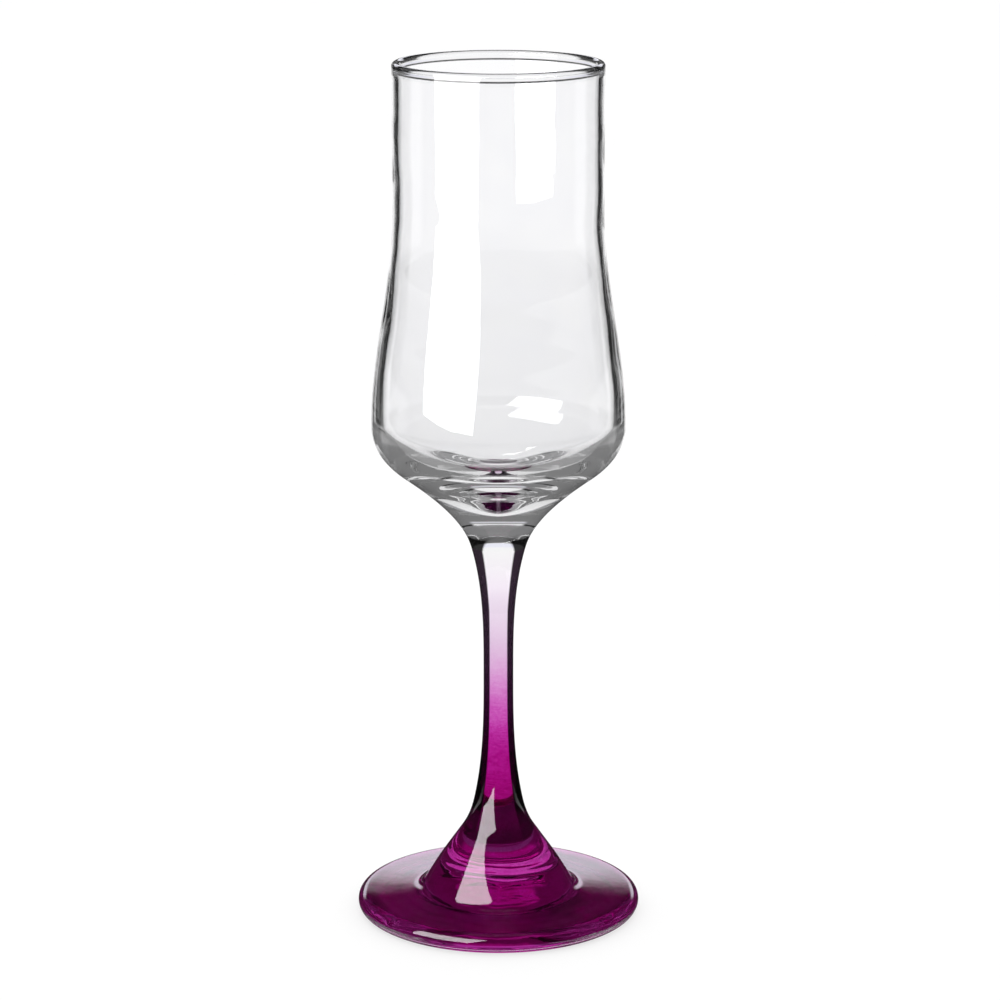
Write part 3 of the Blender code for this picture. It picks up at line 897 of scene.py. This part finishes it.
through = add(tree, "ShaderNodeMath", {0: path.outputs["Transmission Depth"], 1: 0.5},
              operation="GREATER_THAN")
mirrored = add(tree, "ShaderNodeMix", {0: through.outputs[0], 2: outside.outputs[0], 3: inside.outputs[0]})
mirrored_once = add(tree, "ShaderNodeMath", {0: path.outputs["Glossy Depth"], 1: 0.5},
                    operation="GREATER_THAN")
in_glass = add(tree, "ShaderNodeMix", {0: mirrored_once.outputs[0], 2: wall.outputs[0],
                                       3: mirrored.outputs[0]})
on_matt = add(tree, "ShaderNodeMath", {0: path.outputs["Diffuse Depth"], 1: 0.5}, operation="GREATER_THAN")
matt = add(tree, "ShaderNodeMix", {0: path.outputs["Is Diffuse Ray"], 2: LIGHT_UNDER, 3: LIGHT})
level = add(tree, "ShaderNodeMix", {0: on_matt.outputs[0], 2: in_glass.outputs[0], 3: matt.outputs[0]})
level = add(tree, "ShaderNodeMath", {0: level.outputs[0], 1: path.outputs["Is Camera Ray"]},
            operation="MAXIMUM")
sky = add(tree, "ShaderNodeBackground", {"Strength": level.outputs[0], "Color": colour.outputs[2]})
tree.links.new(sky.outputs[0], output.inputs["Surface"])
print("world", len(tree.nodes), "nodes")

# %% [markdown]
# ## Lamps
# A wide soft box stands at the front left. It shows only in the glass, as the bright strip down the
# bowl and the hub. A small lamp above adds light on the table, also through the glass. Bright planes
# could do the same, but lamps give far less noise. Seen again and again inside thick glass, they would
# fill it with hard sparks that a real, soft studio doesn't show. So a lamp is seen only after few
# mirrorings, and more faintly from within one thick piece.

# %% Lamps
WITHIN_GLASS = 0.12
ONE_PIECE, ONE_PIECE_SPAN = 2.0, 1.6


def area_lamp(name, size, radiance, place, turn, unseen, mirrorings):
    """A rectangular lamp of a given radiance: its power is radiance x pi x area. unseen lists ray kinds.

    It shines after at most the given mirrorings. After 1 to 3 passes through a glass surface, which is
    light inside a single piece, it shines at WITHIN_GLASS of its level.
    """
    light = bpy.data.lights.new(name, "AREA")
    light.shape = "RECTANGLE"
    light.size, light.size_y = size
    light.energy = radiance * math.pi * size[0] * size[1]
    light.use_nodes = True
    tree = light.node_tree
    path = add(tree, "ShaderNodeLightPath")
    few = add(tree, "ShaderNodeMath", {0: path.outputs["Glossy Depth"], 1: mirrorings + 0.5},
              operation="LESS_THAN")
    within = add(tree, "ShaderNodeMath", {0: path.outputs["Transmission Depth"], 1: ONE_PIECE,
                                          2: ONE_PIECE_SPAN}, operation="COMPARE")
    level = add(tree, "ShaderNodeMapRange", {"Value": within.outputs[0], "To Min": 1.0,
                                             "To Max": WITHIN_GLASS})
    level = add(tree, "ShaderNodeMath", {0: level.outputs[0], 1: few.outputs[0]}, operation="MULTIPLY")
    tree.links.new(level.outputs[0], tree.nodes["Emission"].inputs["Strength"])
    lamp = bpy.data.objects.new(name, light)
    lamp.location = place
    lamp.rotation_euler = [math.radians(angle) for angle in turn]
    lamp.visible_camera = False
    for kind in unseen:
        setattr(lamp, "visible_" + kind, False)
    bpy.context.scene.collection.objects.link(lamp)
    print(name, "power", round(light.energy, 2), "W")


area_lamp("soft_box", size=(0.62, 0.505), radiance=9.0, place=(-0.400173, -0.415497, 0.277636),
          turn=(61.8, 4.0, -48.0), unseen=("diffuse",), mirrorings=1)
area_lamp("top_lamp", size=(0.2, 0.2), radiance=2.4, place=(0.0, 0.05, 0.40),
          turn=(0.0, 0.0, 0.0), unseen=("glossy",), mirrorings=0)

# %% [markdown]
# ## Light paths and hand-over
# In the heavy base a ray is mirrored many times before it comes out, and one that is cut short turns
# black. So the limits on bounces are far above the usual ones. Filling such spots with a glow could
# hide them too, but it would also wash out the true dark lines.

# %% Colours, light paths and hand-over
scene = bpy.context.scene
scene.view_settings.view_transform = "Standard"
scene.cycles.max_bounces = 80
scene.cycles.transmission_bounces = 80
scene.cycles.glossy_bounces = 60
scene.cycles.transparent_max_bounces = 32
print("light paths up to", scene.cycles.max_bounces, "bounces")
